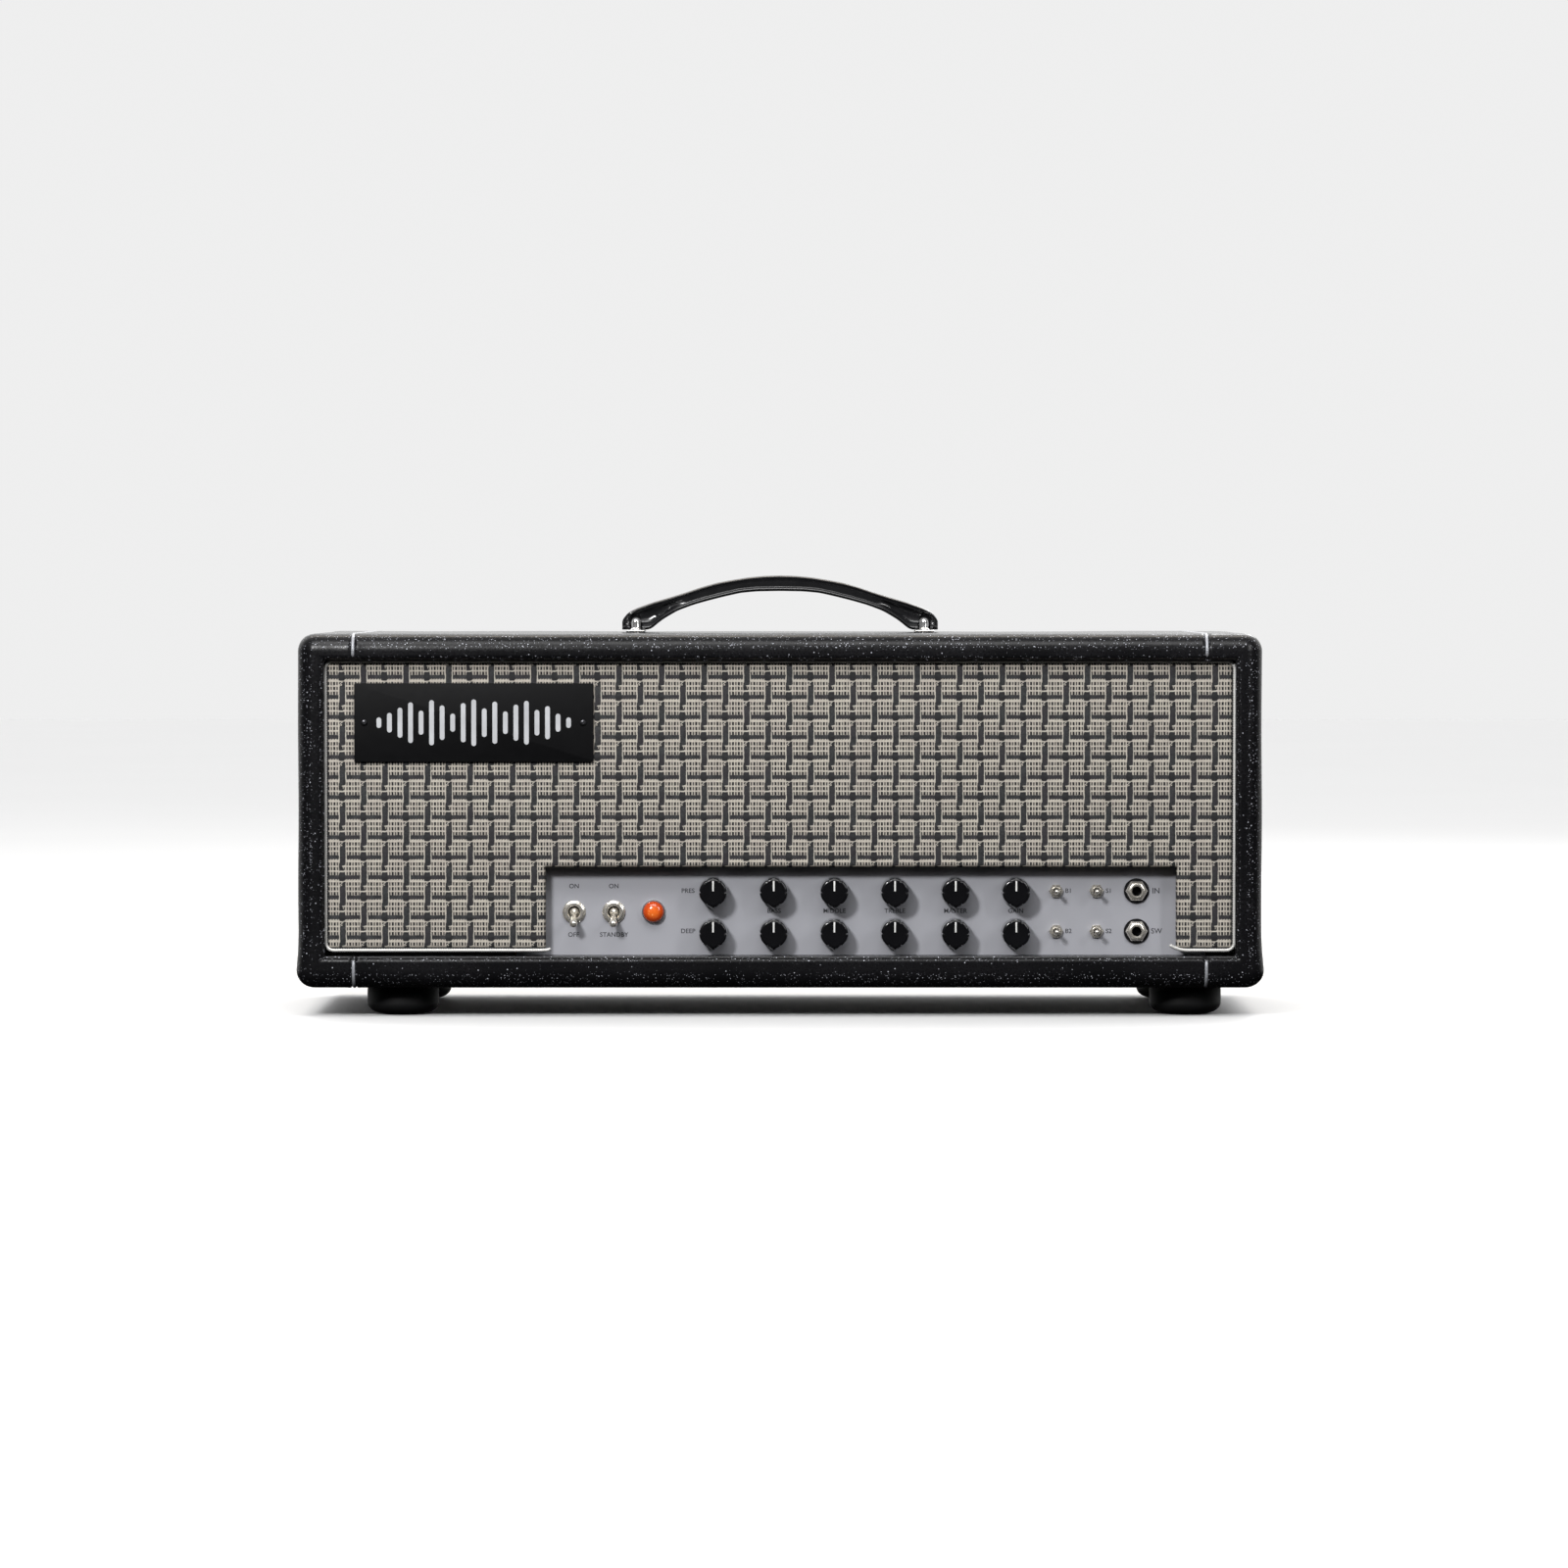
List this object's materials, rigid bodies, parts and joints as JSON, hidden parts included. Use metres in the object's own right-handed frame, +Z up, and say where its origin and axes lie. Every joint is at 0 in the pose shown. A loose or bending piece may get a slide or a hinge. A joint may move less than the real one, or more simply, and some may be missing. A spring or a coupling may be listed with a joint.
{
  "type": "guitar amplifier head",
  "caption": "Valve guitar amplifier head: vinyl-covered box with woven grille, recessed panel of knobs, switches and jacks, strap handle, rubber feet and a rear chassis.",
  "frame": {"origin": "centre of the bounding box in plan, on the plane that the rubber feet stand on", "axes": "+X along the box to the viewer's right as seen from the front, -Y out of the front with the controls, +Z up"},
  "size_m": [0.641, 0.2422, 0.2937],
  "materials": {
    "plywood": "birch plywood, unfinished inside",
    "sparkle_vinyl": "near-black textured vinyl with fine silver flecks",
    "silver_piping": "twisted silver and cream cord",
    "cleat_wood": "plain softwood",
    "baffle_board": "plywood painted black",
    "basketweave_cloth": "cream and charcoal basketweave",
    "black_plate": "black satin plate with light grey bars",
    "dark_screws": "blackened",
    "foot_rubber": "black, matt",
    "zinc_screws": "bright zinc",
    "handle_rubber": "black, moulded, slight sheen",
    "chrome_hardware": "bright chrome",
    "back_board": "panel covered in black vinyl",
    "vent_steel": "black powder coat",
    "chassis_metal": "folded sheet",
    "panel_grey": "light grey enamel with dark printed labels",
    "board_green": "glass-epoxy board",
    "component_body": "dipped film and moulded bodies",
    "transformer_black": "painted laminated steel",
    "valve_glass": "clear glass bulb on a dark base",
    "socket_ceramic": "ceramic",
    "capacitor_sleeve": "shrink sleeve",
    "pot_metal": "plated",
    "nickel_nuts": "bright nickel",
    "lamp_jewel": "translucent orange-red",
    "jack_black": "moulded black",
    "knob_black": "gloss black with a white pointer line",
    "lever_nickel": "bright nickel"
  },
  "bodies": {
    "amp_body": {"cabinet_top_board": "plywood", "cabinet_bottom_board": "plywood", "cabinet_left_board": "plywood", "cabinet_right_board": "plywood", "vinyl_covering": "sparkle_vinyl", "edge_piping": "silver_piping", "panel_cleats": "cleat_wood", "grille_baffle": "baffle_board", "grille_cloth": "basketweave_cloth", "grille_piping": "silver_piping", "name_plate": "black_plate", "name_plate_screws": "dark_screws", "rubber_feet": "foot_rubber", "cabinet_screws": "zinc_screws", "handle_grip": "handle_rubber", "handle_brackets": "chrome_hardware", "handle_fasteners": "chrome_hardware", "back_panel": "back_board", "vent_grille": "vent_steel", "chassis": "chassis_metal", "control_panel": "panel_grey", "chassis_bolts": "zinc_screws", "circuit_board": "board_green", "board_components": "component_body", "board_standoffs": "zinc_screws", "power_transformer": "transformer_black", "output_transformer": "transformer_black", "filter_choke": "transformer_black", "power_valves": "valve_glass", "preamp_valves": "valve_glass", "valve_sockets": "socket_ceramic", "filter_capacitors": "capacitor_sleeve", "potentiometer_bodies": "pot_metal", "panel_nuts": "nickel_nuts", "switch_bodies": "pot_metal", "pilot_lamp_bezel": "chrome_hardware", "pilot_lamp_jewel": "lamp_jewel", "front_jacks": "jack_black", "rear_jacks": "jack_black", "mains_inlet": "jack_black", "fuse_holders": "jack_black"},
    "presence_knob": {"presence_knob": "knob_black"},
    "depth_knob": {"depth_knob": "knob_black"},
    "upper_bass_knob": {"upper_bass_knob": "knob_black"},
    "lower_bass_knob": {"lower_bass_knob": "knob_black"},
    "upper_middle_knob": {"upper_middle_knob": "knob_black"},
    "lower_middle_knob": {"lower_middle_knob": "knob_black"},
    "upper_treble_knob": {"upper_treble_knob": "knob_black"},
    "lower_treble_knob": {"lower_treble_knob": "knob_black"},
    "upper_master_knob": {"upper_master_knob": "knob_black"},
    "lower_master_knob": {"lower_master_knob": "knob_black"},
    "upper_gain_knob": {"upper_gain_knob": "knob_black"},
    "lower_gain_knob": {"lower_gain_knob": "knob_black"},
    "power_switch_lever": {"power_switch_lever": "lever_nickel"},
    "standby_switch_lever": {"standby_switch_lever": "lever_nickel"},
    "mini_lever_left_upper": {"mini_lever_left_upper": "lever_nickel"},
    "mini_lever_left_lower": {"mini_lever_left_lower": "lever_nickel"},
    "mini_lever_right_upper": {"mini_lever_right_upper": "lever_nickel"},
    "mini_lever_right_lower": {"mini_lever_right_lower": "lever_nickel"},
    "impedance_selector_knob": {"impedance_selector_knob": "knob_black"}
  },
  "joints": [
    {"name": "presence_knob_turn", "type": "hinge", "parent": "amp_body", "child": "presence_knob", "pos_m": [-0.0445, -0.105, 0.0826], "axis": [0, 1, 0], "range_deg": [-150, 150]},
    {"name": "depth_knob_turn", "type": "hinge", "parent": "amp_body", "child": "depth_knob", "pos_m": [-0.0445, -0.105, 0.0552], "axis": [0, 1, 0], "range_deg": [-150, 150]},
    {"name": "upper_bass_knob_turn", "type": "hinge", "parent": "amp_body", "child": "upper_bass_knob", "pos_m": [-0.00415, -0.105, 0.0826], "axis": [0, 1, 0], "range_deg": [-150, 150]},
    {"name": "lower_bass_knob_turn", "type": "hinge", "parent": "amp_body", "child": "lower_bass_knob", "pos_m": [-0.00415, -0.105, 0.0552], "axis": [0, 1, 0], "range_deg": [-150, 150]},
    {"name": "upper_middle_knob_turn", "type": "hinge", "parent": "amp_body", "child": "upper_middle_knob", "pos_m": [0.0362, -0.105, 0.0826], "axis": [0, 1, 0], "range_deg": [-150, 150]},
    {"name": "lower_middle_knob_turn", "type": "hinge", "parent": "amp_body", "child": "lower_middle_knob", "pos_m": [0.0362, -0.105, 0.0552], "axis": [0, 1, 0], "range_deg": [-150, 150]},
    {"name": "upper_treble_knob_turn", "type": "hinge", "parent": "amp_body", "child": "upper_treble_knob", "pos_m": [0.07655, -0.105, 0.0826], "axis": [0, 1, 0], "range_deg": [-150, 150]},
    {"name": "lower_treble_knob_turn", "type": "hinge", "parent": "amp_body", "child": "lower_treble_knob", "pos_m": [0.07655, -0.105, 0.0552], "axis": [0, 1, 0], "range_deg": [-150, 150]},
    {"name": "upper_master_knob_turn", "type": "hinge", "parent": "amp_body", "child": "upper_master_knob", "pos_m": [0.1169, -0.105, 0.0826], "axis": [0, 1, 0], "range_deg": [-150, 150]},
    {"name": "lower_master_knob_turn", "type": "hinge", "parent": "amp_body", "child": "lower_master_knob", "pos_m": [0.1169, -0.105, 0.0552], "axis": [0, 1, 0], "range_deg": [-150, 150]},
    {"name": "upper_gain_knob_turn", "type": "hinge", "parent": "amp_body", "child": "upper_gain_knob", "pos_m": [0.15725, -0.105, 0.0826], "axis": [0, 1, 0], "range_deg": [-150, 150]},
    {"name": "lower_gain_knob_turn", "type": "hinge", "parent": "amp_body", "child": "lower_gain_knob", "pos_m": [0.15725, -0.105, 0.0552], "axis": [0, 1, 0], "range_deg": [-150, 150]},
    {"name": "power_switch_lever_flip", "type": "hinge", "parent": "amp_body", "child": "power_switch_lever", "pos_m": [-0.1374, -0.096, 0.0689], "axis": [-1, 0, 0], "range_deg": [0, 54]},
    {"name": "standby_switch_lever_flip", "type": "hinge", "parent": "amp_body", "child": "standby_switch_lever", "pos_m": [-0.1109, -0.096, 0.0689], "axis": [-1, 0, 0], "range_deg": [0, 54]},
    {"name": "mini_lever_left_upper_flip", "type": "hinge", "parent": "amp_body", "child": "mini_lever_left_upper", "pos_m": [0.1843, -0.0975, 0.0829], "axis": [-1, 0, 0], "range_deg": [-12, 12]},
    {"name": "mini_lever_left_lower_flip", "type": "hinge", "parent": "amp_body", "child": "mini_lever_left_lower", "pos_m": [0.1843, -0.0975, 0.056], "axis": [-1, 0, 0], "range_deg": [-12, 12]},
    {"name": "mini_lever_right_upper_flip", "type": "hinge", "parent": "amp_body", "child": "mini_lever_right_upper", "pos_m": [0.2112, -0.0975, 0.0829], "axis": [-1, 0, 0], "range_deg": [-12, 12]},
    {"name": "mini_lever_right_lower_flip", "type": "hinge", "parent": "amp_body", "child": "mini_lever_right_lower", "pos_m": [0.2112, -0.0975, 0.056], "axis": [-1, 0, 0], "range_deg": [-12, 12]},
    {"name": "impedance_selector_turn", "type": "hinge", "parent": "amp_body", "child": "impedance_selector_knob", "pos_m": [-0.012, 0.105, 0.07], "axis": [0, 1, 0], "range_deg": [-60, 60]}
  ]
}
